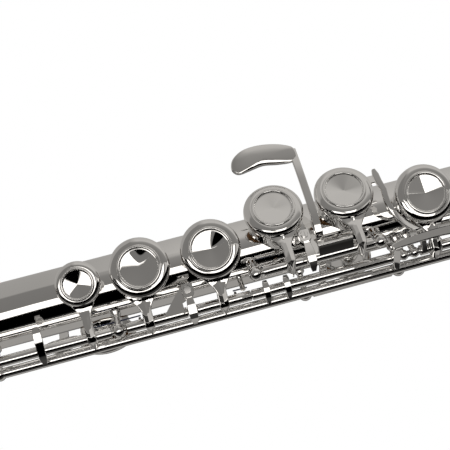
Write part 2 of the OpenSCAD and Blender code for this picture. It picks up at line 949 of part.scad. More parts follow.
// Two forks that hold a roller of length len centred at distance x
module roller_pin(x, len, y) {
    translate([0, y, 11])
        along(x - len / 2 - 1.6, x + len / 2 + 1.6, 0.7);
}

module roller(x, len, y) {
    translate([0, y, 11])
        difference() {
            along(x - len / 2, x + len / 2, 1.9);
            along(x - len / 2 - 1, x + len / 2 + 1, 0.75);
        }
}

module foot_c_sharp_key() {
    color(bright)
        turned(far_rod, -open_a)
            difference() {
                union() {
                    on_rod(far_rod, 64, 90.9, hinge_r);
                    at_cup(foot_c_sharp_x)
                        cup(cup_r);
                    far_side()
                        pointed_arm(-foot_c_sharp_x, 5, 1.5, 7.9, 12.8);
                    crossing_arm(89.4, 2.2, 20);
                    plate(10.4, 11.6, [[100.4, -18.6], [100.4, -22], [88.3, -22], [88.3, -18.6]]);
                    for (x = [100, 89.4])
                        slab(x, 1.2, [[-21, 11.6], [-24.3, 11.9], [-25.6, 11], [-24.3, 10.1], [-21, 10.4]]);
                    roller_pin(94.7, 9, -24.3);
                }
                at_cup(foot_c_sharp_x)
                    pocket(cup_r);
                on_rod(far_rod, 60, 95, bore);
            }
}

module foot_c_sharp_pad() {
    color(amber)
        turned(far_rod, -open_a)
            at_cup(foot_c_sharp_x)
                pad(cup_r);
}

module foot_c_sharp_roller() {
    color(bright)
        turned(far_rod, -open_a)
            roller(94.7, 9, -24.3);
}

module foot_c_key() {
    color(bright)
        turned(far_rod, -open_a)
            difference() {
                union() {
                    on_rod(far_rod, 25.6, 98.8, steel_r);
                    on_rod(far_rod, 29.9, 63.7, hinge_r);
                    on_rod(far_rod, 91.2, 94.4, hinge_r);
                    at_cup(foot_c_x)
                        cup(cup_r);
                    far_side()
                        pointed_arm(-foot_c_x, 5, 1.5, 7.9, 12.8);
                    crossing_arm(92.8, 2.2, 17.5);
                    slab(102.3, 1.6, [
                        [-17, 13.2], [-29, 12], [-32.4, 11], [-32.4, 10], [-29, 10], [-17, 12]]);
                    slab(87, 1.6, [
                        [-27.6, 11.4], [-29, 12], [-32.4, 11], [-32.4, 10], [-29, 10], [-27.6, 10.6]]);
                    plate(12.2, 13.2, [[103.1, -17.6], [103.1, -15.6], [91.7, -15.6], [91.7, -17.6]]);
                    plate(10, 11, [[103.1, -31.4], [103.1, -32.4], [86.2, -32.4], [86.2, -31.4]]);
                    roller_pin(94.7, 13.2, -29);
                }
                at_cup(foot_c_x)
                    pocket(cup_r);
            }
}

module foot_c_pad() {
    color(amber)
        turned(far_rod, -open_a)
            at_cup(foot_c_x)
                pad(cup_r);
}

module foot_c_roller() {
    color(bright)
        turned(far_rod, -open_a)
            roller(94.7, 13.2, -29);
}

head_tube();
riser();
lip_plate();
crown();
stopper_cork();
stopper_screw();
body_tube();
barrel();
rod_rib();
posts();
needle_springs();
main_steels();
g_steel();
back_steels();
c_key();
c_sharp_pad();
b_flat_key();
main_pad(b_flat_x);  // b_flat_pad
a_key();
main_pad(a_x);  // a_pad
a_screw();
upper_g_key();
g_pad(upper_g_x);  // upper_g_pad
g_screw();
lower_g_key();
g_pad(lower_g_x);  // lower_g_pad
g_sharp_key();
g_sharp_pad();
split_e_lever();
side_b_flat_lever();
f_sharp_key();
main_pad(f_sharp_x);  // f_sharp_pad
f_key();
main_pad(f_x);  // f_pad
f_screw();
e_key();
main_pad(e_x);  // e_pad
d_key();
main_pad(d_x);  // d_pad
thumb_b_key();
thumb_b_pad();
thumb_b_flat_lever();
d_trill_key();
trill_pad(d_trill_x);  // d_trill_pad
d_sharp_trill_key();
trill_pad(d_sharp_trill_x);  // d_sharp_trill_pad
foot_tube();
foot_posts();
foot_steel();
foot_d_sharp_key();
foot_d_sharp_pad();
foot_c_sharp_key();
foot_c_sharp_pad();
foot_c_key();
foot_c_pad();
foot_c_sharp_roller();
foot_c_roller();
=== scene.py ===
"""Concert flute: polished plate, cups, arms, posts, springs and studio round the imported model."""

import json
import math

import bpy
from mathutils import Matrix, Vector


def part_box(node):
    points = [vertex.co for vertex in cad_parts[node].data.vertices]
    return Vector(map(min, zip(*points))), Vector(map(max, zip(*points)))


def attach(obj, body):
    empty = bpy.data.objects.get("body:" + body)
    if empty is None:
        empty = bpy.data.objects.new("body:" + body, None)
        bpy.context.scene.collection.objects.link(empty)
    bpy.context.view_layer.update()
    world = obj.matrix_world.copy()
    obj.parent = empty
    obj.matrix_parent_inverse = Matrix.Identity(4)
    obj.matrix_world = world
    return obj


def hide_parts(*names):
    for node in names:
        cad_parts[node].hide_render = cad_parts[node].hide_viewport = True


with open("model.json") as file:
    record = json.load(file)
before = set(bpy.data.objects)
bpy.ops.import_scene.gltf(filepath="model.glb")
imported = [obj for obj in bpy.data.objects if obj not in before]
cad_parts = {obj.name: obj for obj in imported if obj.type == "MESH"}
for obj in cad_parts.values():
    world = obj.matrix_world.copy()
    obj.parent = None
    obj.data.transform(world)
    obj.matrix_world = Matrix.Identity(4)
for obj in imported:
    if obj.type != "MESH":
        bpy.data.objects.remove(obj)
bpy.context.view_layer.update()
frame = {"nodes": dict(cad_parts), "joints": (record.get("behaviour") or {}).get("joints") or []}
scene = bpy.context.scene
scene.view_settings.view_transform = "Standard"

MM = 0.001
SEAT = 12.35                 # height of a closed pad's seat above the tube axis
ROD = (-15.8, 8.0)           # main rod, y and z, before a key is turned round the tube
FAR = (15.8, 8.0)            # foot rod on the far side
TRILL = (-18.4, 4.0)         # trill rod
THUMB_ROD, G_SHARP_ROD = (-12.5, 12.3), (12.5, 12.3)
HINGE_R, HINGE_BORE, STEEL_BORE = 1.6, 1.05, 0.9
CUP_R, G_SHARP_R, TOUCH_R, SMALL_R = 9.0, 8.5, 6.7, 5.3
SCREW_Y = -9.5               # adjusting screws, from their cup's centre
FLOOR_Z, FLOOR_HALF = -0.0225, 4
EYE = (-0.3046, -0.0767, 0.2700)
DEGREES = math.degrees(1)
G_TURN, THUMB_TURN, G_SHARP_TURN = -24, 124, 150
TILT = math.radians(18)      # how far the camera leans towards the rods


# ---- materials ----

def lin(v):
    """Display value 0-255 to scene linear."""
    v = v / 255
    return v / 12.92 if v <= 0.04045 else ((v + 0.055) / 1.055) ** 2.4


def warm(v):
    """A slightly warm grey of display value v."""
    return (lin(v), lin(v) * 0.965, lin(v) * 0.92, 1)


class Nodes:
    """Short way to build a node tree."""

    def __init__(self, tree, fresh=True):
        self.tree = tree
        if fresh:
            tree.nodes.clear()

    def add(self, kind, **values):
        n = self.tree.nodes.new("ShaderNode" + kind)
        for k, v in values.items():
            if k in n.inputs:
                if isinstance(v, bpy.types.NodeSocket):
                    self.tree.links.new(v, n.inputs[k])
                else:
                    n.inputs[k].default_value = v
            else:
                setattr(n, k, v)
        return n

    def math(self, op, *args):
        n = self.tree.nodes.new("ShaderNodeMath")
        n.operation = op
        for i, a in enumerate(args):
            if isinstance(a, bpy.types.NodeSocket):
                self.tree.links.new(a, n.inputs[i])
            else:
                n.inputs[i].default_value = a
        return n.outputs[0]

    def dot(self, vector, constant):
        n = self.tree.nodes.new("ShaderNodeVectorMath")
        n.operation = "DOT_PRODUCT"
        self.tree.links.new(vector, n.inputs[0])
        n.inputs[1].default_value = constant
        return n.outputs["Value"]

    def ramp(self, fac, stops):
        n = self.tree.nodes.new("ShaderNodeValToRGB")
        self.tree.links.new(fac, n.inputs["Fac"])
        e = n.color_ramp.elements
        while len(e) > 1:
            e.remove(e[-1])
        e[0].position, e[0].color = stops[0]
        for place, colour in stops[1:]:
            e.new(place).color = colour
        return n.outputs["Color"]

    def mix(self, fac, a, b):
        n = self.tree.nodes.new("ShaderNodeMix")
        n.data_type = "RGBA"
        for i, v in ((0, fac), (6, a), (7, b)):
            if isinstance(v, bpy.types.NodeSocket):
                self.tree.links.new(v, n.inputs[i])
            else:
                n.inputs[i].default_value = v
        return n.outputs[2]

    def link(self, a, b):
        self.tree.links.new(a, b)


E_UP = (0.0, math.cos(TILT), math.sin(TILT))
TO_CAMERA = (0.0, -math.sin(TILT), math.cos(TILT))


def angles(t, direction):
    """Degrees a direction rises above the camera's and turns to the foot's side."""
    rise = t.math("ARCTAN2", t.dot(direction, E_UP), t.dot(direction, TO_CAMERA))
    side = t.math("ARCSINE", t.dot(direction, (1, 0, 0)))
    return t.math("MULTIPLY", rise, DEGREES), t.math("MULTIPLY", side, DEGREES)


def surface(name, colour, metallic, rough, grain=0.0, grain_scale=900.0, rough_spread=0.0):
    """Procedural finish: base colour, roughness with a slow variation, fine bump."""
    m = bpy.data.materials.new(name)
    m.use_nodes = True
    t = Nodes(m.node_tree)
    place = t.add("TexCoord").outputs["Object"]
    cloud = t.add("TexNoise", Vector=place, Scale=160.0, Detail=3.0).outputs["Fac"]
    shade = t.add("BsdfPrincipled", **{"Base Color": colour, "Metallic": metallic})
    spread = t.math("MULTIPLY", cloud, rough_spread)
    t.link(t.math("ADD", spread, rough), shade.inputs["Roughness"])
    if grain:
        fine = t.add("TexNoise", Vector=place, Scale=grain_scale, Detail=2.0).outputs["Fac"]
        bump = t.add("Bump", Height=fine, Strength=grain, Distance=0.0001)
        t.link(bump.outputs["Normal"], shade.inputs["Normal"])
    out = t.add("OutputMaterial")
    t.link(shade.outputs[0], out.inputs["Surface"])
    return m


TUBE = surface("tube_plate", (0.93, 0.925, 0.915, 1), 1.0, 0.035, 0.012, 260.0, 0.03)
PLATE = surface("key_plate", (0.945, 0.94, 0.93, 1), 1.0, 0.02, 0.0, 900.0, 0.025)
STEEL = surface("steel", (0.72, 0.72, 0.72, 1), 1.0, 0.16, 0.05, 2500.0, 0.08)
BLUED = surface("spring_steel", (0.07, 0.08, 0.12, 1), 1.0, 0.22, 0.0, 900.0, 0.1)
SKIN = surface("pad_skin", (0.30, 0.15, 0.055, 1), 0.0, 0.5, 0.25, 1800.0, 0.1)
CORK = surface("cork", (0.42, 0.26, 0.13, 1), 0.0, 0.8, 0.6, 1500.0, 0.1)


def plate_with_painted_reflection():
    """Cup plate: the finish of the keys, with a painted reflection of the camera's dark lens and grey hood; a
    glowing patch chosen by the reflection's direction takes the metal's place there.
    """
    m = PLATE.copy()
    m.name = "cup_plate"
    tree = m.node_tree
    t = Nodes(tree, fresh=False)
    shade = next(n for n in tree.nodes if n.type == "BSDF_PRINCIPLED")
    out = next(n for n in tree.nodes if n.type == "OUTPUT_MATERIAL")
    rise, side = angles(t, t.add("TexCoord").outputs["Reflection"])
    dx = t.math("ADD", side, 7.4)
    dy = t.math("SUBTRACT", rise, 4.5)
    away = t.math("SQRT", t.math("ADD", t.math("MULTIPLY", dx, dx), t.math("MULTIPLY", dy, dy)))
    # painted reflection: black lens inside a grey hood, coloured by distance from the camera's direction
    hood = t.ramp(t.math("DIVIDE", away, 10), [(0.0, (0, 0, 0, 1)), (0.36, (0, 0, 0, 1)), (0.40, warm(112)),
                                                (1.0, warm(116))])
    # the patch glows in place of the metal: a painted reflection, not a mirrored one
    pick = t.add("MixShader")
    t.link(t.math("LESS_THAN", away, 6.9), pick.inputs[0])
    t.link(shade.outputs[0], pick.inputs[1])
    t.link(t.add("Emission", Color=hood, Strength=1.0).outputs[0], pick.inputs[2])
    t.link(pick.outputs[0], out.inputs["Surface"])
    return m


PAINTED_REFLECTION_PLATE = plate_with_painted_reflection()
FINISH = {"tube_plate": TUBE, "key_plate": PLATE, "steel": STEEL, "spring_steel": BLUED,
          "pad_skin": SKIN, "cork": CORK}
for obj in frame["nodes"].values():
    for spot in obj.material_slots:
        base = spot.material.name.split(".")[0]
        spot.material = FINISH.get(base, PLATE)


# ---- mesh shapes; lengths in millimetres ----

class Shape:
    """Collects faces of one or more closed skins."""

    def __init__(self):
        self.verts, self.faces = [], []

    def add(self, verts, faces, place=Matrix.Identity(4)):
        n = len(self.verts)
        self.verts += [place @ Vector(v) for v in verts]
        self.faces += [[n + i for i in f] for f in faces]
        return self

    def loft(self, loops, place=Matrix.Identity(4), cap=True):
        """Skin through equal loops of points, with flat ends."""
        k = len(loops[0])
        verts = [p for loop in loops for p in loop]
        faces = [[a * k + i, a * k + (i + 1) % k, (a + 1) * k + (i + 1) % k, (a + 1) * k + i]
                 for a in range(len(loops) - 1) for i in range(k)]
        if cap:
            faces += [list(range(k))[::-1], list(range(len(verts) - k, len(verts)))]
        return self.add(verts, faces, place)

    def lathe(self, profile, place=Matrix.Identity(4), seg=112):
        """Profile [r, z] turned about Z; points at r = 0 close it."""
        verts, rows = [], []
        for r, z in profile:
            if r < 1e-6:
                rows.append([len(verts)] * seg)
                verts.append((0, 0, z))
            else:
                rows.append(list(range(len(verts), len(verts) + seg)))
                for i in range(seg):
                    a = 2 * math.pi * i / seg
                    verts.append((r * math.cos(a), r * math.sin(a), z))
        faces = []
        for a, b in zip(rows, rows[1:]):
            for i in range(seg):
                j = (i + 1) % seg
                f = [a[i], a[j], b[j], b[i]]
                f = [v for n, v in enumerate(f) if v not in f[:n]]
                if len(f) > 2:
                    faces.append(f)
        return self.add(verts, faces, place)

    def rod(self, y, z, x1, x2, r, place=Matrix.Identity(4), bore=0.0, seg=48):
        """Round bar or tube along X between two distances from the foot's end."""
        c = min(0.14, r * 0.15)
        a, b = min(x1, x2), max(x1, x2)
        outer = [(bore, a), (r - c, a), (r - 0.3 * c, a + 0.3 * c), (r, a + c),
                 (r, b - c), (r - 0.3 * c, b - 0.3 * c), (r - c, b), (bore, b)]
        turn = Matrix.Translation((0, y, z)) @ Matrix.Rotation(-math.pi / 2, 4, "Y")
        if bore:
            outer.append(outer[0])
        return self.lathe(outer, place @ turn, seg)

    def strap(self, centres, widths, thick, across, place=Matrix.Identity(4), edge=0.22, crown=0.0):
        """Rounded strip swept along centres; across is the direction its width lies in."""
        pts = [Vector(c) for c in centres]
        loops = []
        for i, p in enumerate(pts):
            t = (pts[min(i + 1, len(pts) - 1)] - pts[max(i - 1, 0)]).normalized()
            side = across(i, t) if callable(across) else Vector(across)
            side = (side - t * side.dot(t)).normalized()
            up = side.cross(t).normalized()
            w = widths[i] if isinstance(widths, (list, tuple)) else widths
            h = thick[i] if isinstance(thick, (list, tuple)) else thick
            loops.append([p + side * a + up * b for a, b in rounded(w / 2, h, edge, crown)])
        return self.loft(loops, place)


def rounded(hw, h, edge, crown):
    """Section of a strip: half width, thickness, edge rounding, height of the middle ridge."""
    e = min(edge, hw * 0.6, h * 0.45)
    right = [(hw - 0.5 * e, -h / 2), (hw, -h / 2 + 0.5 * e)]
    right += [(hw - e + e * math.cos(a), h / 2 - e + e * math.sin(a))
              for a in (math.radians(d) for d in (0, 18, 36, 54, 72, 90))]
    left = [(-x, z) for x, z in reversed(right)]
    return right + [(0, h / 2 + crown)] + left


def flat_outline(points, z, scale, centre):
    """Outline at height z, scaled about its centre."""
    return [(centre[0] + (x - centre[0]) * scale, centre[1] + (y - centre[1]) * scale, z) for x, y in points]


def leaf(shape, outline, z0, z1, dome, place=Matrix.Identity(4), lip=0.35):
    """Plate with rounded edges and a slightly domed face; outline is [x, y] in order."""
    cx = sum(p[0] for p in outline) / len(outline)
    cy = sum(p[1] for p in outline) / len(outline)
    size = max(math.hypot(x - cx, y - cy) for x, y in outline)
    loops = [flat_outline(outline, z0, 1 - 0.5 * lip / size, (cx, cy)),
             flat_outline(outline, z0 + 0.4 * lip, 1.0, (cx, cy))]
    for d in (0, 18, 36, 54, 72, 90):
        a = math.radians(d)
        loops.append(flat_outline(outline, z1 - lip + lip * math.sin(a),
                                  1 - lip * (1 - math.cos(a)) / size, (cx, cy)))
    for s in (0.8, 0.6, 0.4, 0.2, 0.05):
        loops.append(flat_outline(outline, z1 + dome * (1 - s * s), s, (cx, cy)))
    return shape.loft(loops, place)


def smooth_curve(points, steps=6, closed=False):
    """Catmull-Rom curve through points of any dimension."""
    n = len(points)
    out = []
    last = n if closed else n - 1
    for i in range(last):
        p = [points[(i + k) % n] if closed else points[min(max(i + k, 0), n - 1)] for k in (-1, 0, 1, 2)]
        for s in range(steps):
            t = s / steps
            out.append(tuple(
                0.5 * (2 * b + (c - a) * t + (2 * a - 5 * b + 4 * c - d) * t * t
                       + (3 * b - a - 3 * c + d) * t ** 3)
                for a, b, c, d in zip(*p)))
    if not closed:
        out.append(tuple(points[-1]))
    return out


def between(y, table):
    """Value at y of a falling table of (y, value)."""
    for (a, va), (b, vb) in zip(table, table[1:]):
        if y >= b:
            t = (a - y) / (a - b)
            return va + (vb - va) * max(0.0, t)
    return table[-1][1]


def piece(name, shape, body, nodes, slot="key_plate", material=None, crease=24):
    """Turns a shape into an object that rides on its body and stands for CAD nodes."""
    mesh = bpy.data.meshes.new(name)
    mesh.from_pydata([v * MM for v in shape.verts], [], shape.faces)
    mesh.validate()
    mesh.polygons.foreach_set("use_smooth", [True] * len(mesh.polygons))
    mesh.set_sharp_from_angle(angle=math.radians(crease))
    obj = bpy.data.objects.new(name, mesh)
    scene.collection.objects.link(obj)
    mesh.materials.append(material or FINISH[slot])
    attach(obj, body)
    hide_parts(*nodes)
    return obj


# ---- cups and arms ----

def cup_profile(r, dish, bowl):
    """Cup from the pocket's ceiling out over the rim and shoulder, the rolled ring and the dish.

    The dish's slope grows with distance to the power bowl: 0 is a cone, 1 a round bowl.
    """
    ring, bead = 0.675 * r, 0.055 * r
    edge = ring + bead + 0.12
    pts = [(0, 1.95), (r - 0.5, 1.95), (r - 0.5, 0.62), (r - 0.14, 0.6), (r - 0.04, 0.64), (r, 0.74),
           (r, 1.62)]
    for d in range(6, 91, 6):
        a = math.radians(d)
        pts.append((edge + (r - edge) * math.cos(a), 1.7 + 1.95 * math.sin(a)))
    pts += [(ring + bead + 0.06, 3.6), (ring + bead, 3.62)]
    for d in range(15, 166, 15):
        a = math.radians(d)
        pts.append((ring + bead * math.cos(a), 3.66 + 0.42 * math.sin(a)))
    rim = ring - bead
    pts += [(rim, 3.66), (rim - 0.05, 3.6), (rim - 0.16, 3.56), (rim - 0.3, 3.54)]
    wide = rim - 0.3
    deep = wide * math.tan(math.radians(dish)) / (bowl + 1)
    for i in range(1, 15):
        share = 1 - i / 14
        pts.append((wide * share, 3.54 - deep * (1 - share ** (bowl + 1))))
    return pts


TOP_LINE = [(-3.0, 13.2), (-7.2, 13.25), (-12.4, 13.35), (-14.6, 13.2), (-17.3, 12.85), (-18.1, 12.2),
            (-18.7, 10.3), (-19.2, 8.7), (-19.62, 7.3)]
LOW_LINE = [(-3.0, 14.2), (-7.2, 14.05), (-8.6, 13.95), (-9.8, 13.55), (-11.0, 12.85), (-12.2, 11.95),
            (-13.4, 11.15), (-14.6, 10.6), (-15.8, 10.25), (-17.0, 9.75), (-18.0, 9.05), (-18.9, 8.1),
            (-19.6, 7.2)]


def pointed_arm(shape, place, r=CUP_R, wing=5.0, waist=1.45, start=7.35, neck=12.8, ridge=0.75,
                line=None):
    """Pointed arm from a cup's wall to the tail over the hinge tube, cup centre at y = 0.

    line is the height of its top; under the cup its underside stays clear of the tone hole's edge.
    """
    loops = []
    ys = [-start + 0.9, -start]
    ys += [-start - (neck - start) * (1 - math.cos(math.radians(a)))
           for a in (18, 32, 44, 54, 63, 72, 81, 90)]
    ys += [-neck - 0.9, -14.8, -15.8, -16.8, -17.5, -18.2, -18.8, -19.3, -19.62]
    for y in ys:
        if y > -neck:
            c = min(1.0, max(0.0, (neck + y) / (neck - start)))
            hw = waist + (wing - waist) * c ** 1.5
        elif y > -17.0:
            hw = waist
        else:
            hw = max(0.16, waist * (1 - ((-y - 17.0) / 2.62) ** 1.3))
        top = between(y, line or TOP_LINE)
        rise = ridge * min(1.0, max(0.0, (-y - 9.5) / 4.0))
        if y < -17:
            rise *= 1 + 0.5 * (-y - 17) / 2.6
        low = top - 1.25 if y > -12.8 else max(7.2, min(top - 1.25, 12.1 - 1.9 * (-12.8 - y)))
        if y > -9.0:
            low = max(low, SEAT + 0.25)
        low = min(low, top - 0.4)
        e = min(0.26, hw * 0.45)
        right = [(hw - 0.12, low), (hw, low + 0.12)]
        right += [(hw - e + e * math.cos(a), top - e + e * math.sin(a))
                  for a in (math.radians(d) for d in (0, 18, 36, 54, 72, 90))]
        right.append((hw * 0.45, top + rise * 0.5))
        loop = right + [(0, top + rise)] + [(-x, z) for x, z in reversed(right)]
        full = []
        for x, z in loop:
            gap = math.hypot(x, y) - r
            lift = 0.45 * math.exp(-max(0.0, gap) / 0.28) if z > low + 0.5 and y > -11 else 0.0
            full.append((x, y, z + lift))
        loops.append(full)
    shape.loft(loops, place)


def screw_arm(shape, place):
    """Slotted plate over the neighbour's lug, faceted stem and tail; x = 0 at its middle."""
    path = [(0, -11.4, 11.4), (0, -12.8, 11.45), (0, -14.6, 11.2), (0, -16.4, 10.8), (0, -17.6, 10.2),
            (0, -18.7, 8.8), (0, -19.4, 7.4)]
    shape.strap(path, [1.5, 2.1, 2.5, 2.6, 2.5, 2.0, 1.2], [1.0, 1.2, 1.9, 2.4, 2.0, 1.2, 0.9],
                (1, 0, 0), place, 0.16, 0.5)
    shape.strap([(0, -7.75, 11.65), (0, -7.9, 11.65), (0, -11.1, 11.9), (0, -11.9, 11.95)],
                [3.0, 3.4, 3.4, 2.2], 1.0, (1, 0, 0), place, 0.14)


def screw_head(shape, place):
    """Slotted screw standing in the plate."""
    slot, head = 0.14, 1.12
    for side in (-1, 1):
        outline = []
        for d in range(-81, 82, 18):
            a = math.radians(d)
            outline.append((head * math.cos(a), head * math.sin(a)))
        loops = [[(side * x, SCREW_Y + y * side, z) for x, y in outline] for z in (12.2, 12.68)]
        loops.append([(side * (slot + (x - slot) * 0.9), SCREW_Y + y * 0.9 * side, 12.76)
                      for x, y in outline])
        shape.loft(loops, place)
    shape.lathe([(0, 10.2), (0.7, 10.2), (0.75, 10.3), (0.75, 12.3), (0, 12.3)],
                place @ Matrix.Translation((0, SCREW_Y, 0)), 32)
    shape.lathe([(0, 12.15), (1.1, 12.15), (1.12, 12.45), (0, 12.45)],
                place @ Matrix.Translation((0, SCREW_Y, 0)), 32)


def lug(shape, place, root1, root2, x):
    """Flat kicker from a hinge tube to a point under the neighbour's screw."""
    side = 1 if root1 > x else -1
    near = x - side * 1.5
    pts = [(root1, -15.8), (root1, -15.0), (x + side * 1.4, -8.2), (near, -8.2), (near, -11.8),
           (root2, -13.0), (root2, -15.8)]
    pts = [(-a, b) for a, b in pts]
    if side < 0:
        pts.reverse()
    shape.loft([[(a, b, z - 0.08 * (b + 8.2)) for a, b in pts] for z in (9.1, 10.0)], place)


def catch(shape, place, x):
    """Hook a needle spring bears on."""
    turn = Matrix.Translation((-x, ROD[0], ROD[1])) @ Matrix.Rotation(math.radians(225), 4, "X")
    shape.lathe([(0, 0), (0.42, 0), (0.42, 2.9), (0.3, 3.2), (0, 3.3)], place @ turn, 24)


def placed(joint_name, turn, standing_open):
    """Rest place of a key drawn closed and not yet turned round the tube."""
    joint = next(j for j in frame["joints"] if j["name"] == joint_name)
    low, high = joint["range_deg"]
    closing = low if abs(low) > abs(high) else high
    lift = -closing if standing_open else 0.0
    pos = Vector(joint["pos_m"]) / MM
    return (Matrix.Translation(pos) @ Matrix.Rotation(math.radians(lift), 4, "X") @ Matrix.Translation(-pos)
            @ Matrix.Rotation(math.radians(turn), 4, "X"))


def pad_x(node):
    """Distance of a pad's centre from the foot's end."""
    lo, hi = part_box(node)
    return -(lo.x + hi.x) / 2 / MM


def cup(name, place, x, r, body, node, dish=7.5, nod=0.0, roll=0.0, bowl=0.0):
    """Cup at distance x; nod and roll lean it a little on its arm, as keys are in use."""
    lean = Matrix.Rotation(math.radians(nod), 4, "X") @ Matrix.Rotation(math.radians(roll), 4, "Y")
    at = place @ Matrix.Translation((-x, 0, SEAT + 1.2)) @ lean @ Matrix.Translation((0, 0, -1.2))
    # every cup wears the plate with the painted reflection of the camera's lens and hood
    return piece(name, Shape().lathe(cup_profile(r, dish, bowl), at), body, [node],
                 material=PAINTED_REFLECTION_PLATE, crease=30)


def main_arm(shape, place, x, far=False, **sizes):
    """Pointed arm of the cup at distance x; far turns it to the rod on the other side."""
    spot = place @ Matrix.Translation((-x, 0, 0))
    if far:
        spot = spot @ Matrix.Rotation(math.pi, 4, "Z")
    pointed_arm(shape, spot, **sizes)


# ---- left-hand keys ----

LEFT = {
    # node: joint, turn, pad, arm shift, tube ends, lean of the cup (nod, roll), dish (slope, bowl)
    "b_flat_key": ("b_flat_key_hinge", 0, "b_flat_pad", 1.1, (299.4, 317.9), (0.0, -1.3), (4.9, 0.6)),
    "a_key": ("a_key_hinge", 0, "a_pad", 0.0, (279.8, 299.2), (0.8, -1.0), (7.4, 0.3)),
    "upper_g_key": ("upper_g_key_hinge", G_TURN, "upper_g_pad", -0.4, (259.0, 274.9), (0.0, 0.0), (4.5, 0.0)),
    "lower_g_key": ("lower_g_key_hinge", G_TURN, "lower_g_pad", 0.0, (240.9, 258.8), (0.0, 0.0), (9.0, 0.0)),
    "f_sharp_key": ("f_sharp_key_hinge", 0, "f_sharp_pad", 0.3, (207.8, 224.0), (0.3, 1.2), (7.5, 0.0)),
    "f_key": ("f_key_hinge", 0, "f_pad", 0.0, (180.9, 207.5), (0.0, 0.0), (7.5, 0.0)),
    "e_key": ("e_key_hinge", 0, "e_pad", 0.0, (152.1, 180.6), (0.6, 1.0), (7.0, 0.0)),
    "d_key": ("d_key_hinge", 0, "d_pad", 0.0, (133.3, 151.8), (-0.6, 0.0), (7.2, 0.0))}
SCREWS = {"a_key": ("a_screw", 297.9), "upper_g_key": ("g_screw", 260.4), "f_key": ("f_screw", 206.0)}
CATCHES = {"b_flat_key": 313.6, "a_key": 284.1, "upper_g_key": 270.6, "lower_g_key": 242.2,
           "f_sharp_key": 218.8, "e_key": 158.0, "d_key": 142.6}

for node, (joint, turn, pad, shift, (x1, x2), (nod, roll), (dish, bowl)) in LEFT.items():
    place = placed(joint, turn, True)
    x = pad_x(pad)
    cup(node + "_cup", place, x, CUP_R, node, node, dish, nod, roll, bowl)
    arm = Shape()
    main_arm(arm, place, x + shift)
    if node in CATCHES:
        catch(arm, place, CATCHES[node])
    if node in SCREWS:
        screw_arm(arm, place @ Matrix.Translation((-SCREWS[node][1], 0, 0)))
        screw = Shape()
        screw_head(screw, place @ Matrix.Translation((-SCREWS[node][1], 0, 0)))
        piece(node + "_screw", screw, node, [SCREWS[node][0]], "steel", PLATE)
    if node == "b_flat_key":
        lug(arm, place, 306, 300.2, 298.5)
    if node == "f_sharp_key":
        lug(arm, place, 214, 208.6, 206.4)
        arm.strap([(-222.4, -12.35, 8.05), (-134.6, -12.35, 8.05)], 1.45, 1.1, (0, 1, 0), place, 0.25)
        arm.strap([(-220.6, -15.8, 8.6), (-220.6, -14.0, 8.6), (-220.6, -12.0, 8.05)],
                  1.9, 1.0, (1, 0, 0), place)
    if node == "lower_g_key":
        tongue = [(-257.4, -15.8), (-258.8, -15.8), (-258.8, -13), (-261.9, -11.8), (-261.9, -8.2),
                  (-258.9, -8.2), (-257.4, -12.4)]
        arm.loft([[(a, b, z) for a, b in reversed(tongue)] for z in (9.2, 10.1)], place)
        arm.strap([(-247.1, -15.2, 11.0), (-252.0, -15.2, 11.0), (-257.7, -15.2, 11.0)], 4.0, 1.0,
                  (0, 1, 2.4), place, 0.2)
        arm.strap([(-237.2, 2.2, SEAT + 1.2), (-234.2, 2.2, SEAT + 1.2), (-232.9, 2.2, SEAT + 1.2)],
                  2.7, 1.15, (0, 1, 0), place, 0.25)
    piece(node + "_arm", arm, node, [node])
    piece(node + "_tube", Shape().rod(*ROD, x1, x2, HINGE_R, place, HINGE_BORE), node, [node])

# first-finger touch with the small cup on the same tube
place = placed("c_key_hinge", 0, True)
cup("c_key_touch", place, 328.3, TOUCH_R, "c_key", "c_key", 9.5, 7.0)
cup("c_key_cup", place, pad_x("c_sharp_pad"), SMALL_R, "c_key", "c_key", 7.0, 2.0, 0.0)
arm = Shape()
main_arm(arm, place, 328.3, r=TOUCH_R, wing=3.7, waist=1.35, start=5.6, neck=10.4)
main_arm(arm, place, pad_x("c_sharp_pad"), r=SMALL_R, wing=2.9, waist=1.2, start=4.4, neck=9.4)
arm.strap([(-343.5, y, z) for y, z in ((-8.8, 10.4), (-10.2, 10.5), (-12, 10.5), (-13.8, 10.1), (-15.8, 9.6),
                                       (-17.2, 8.9), (-18.4, 8.0), (-19.5, 7.1))],
          [1.6, 2.3, 2.4, 2.4, 2.4, 2.3, 2.0, 1.2], 1.25, (1, 0, 0), place, 0.2, 0.2)
catch(arm, place, 327.0)
piece("c_key_arm", arm, "c_key", ["c_key"])
piece("c_key_tube", Shape().rod(*ROD, 322.6, 365.7, HINGE_R, place, HINGE_BORE), "c_key", ["c_key"])

# G sharp: cup under the tube, arm between the G cups, leaf-shaped touch
place = placed("g_sharp_key_hinge", G_SHARP_TURN, False)
unturned = Matrix.Identity(4)
x = pad_x("g_sharp_pad")
cup("g_sharp_key_cup", place, x, G_SHARP_R, "g_sharp_key", "g_sharp_key", 6.0)
arm = Shape()
arm.rod(*G_SHARP_ROD, 234.0, 259.8, HINGE_R, place, HINGE_BORE)
arm.strap([(-x, y, z) for y, z in ((12.9, 12.6), (10.8, 13.1), (8.8, 14.3), (7, 15.1), (5, 15.1))], 3.0, 1.3,
          (1, 0, 0), place, 0.25)
run = smooth_curve([(-15.9, -5.2), (-14.9, -3.4), (-13.9, 1.0), (-12.4, 5.6), (-9.5, 10.2), (-5.4, 15.6),
                    (-3.9, 16.8), (2, 17.65), (10, 17.15), (16, 16.6), (21.5, 15.7), (23.4, 15.3)], 4)
arm.strap([(-256, y, z) for y, z in run], 2.3, 1.0, (1, 0, 0), unturned, 0.25)
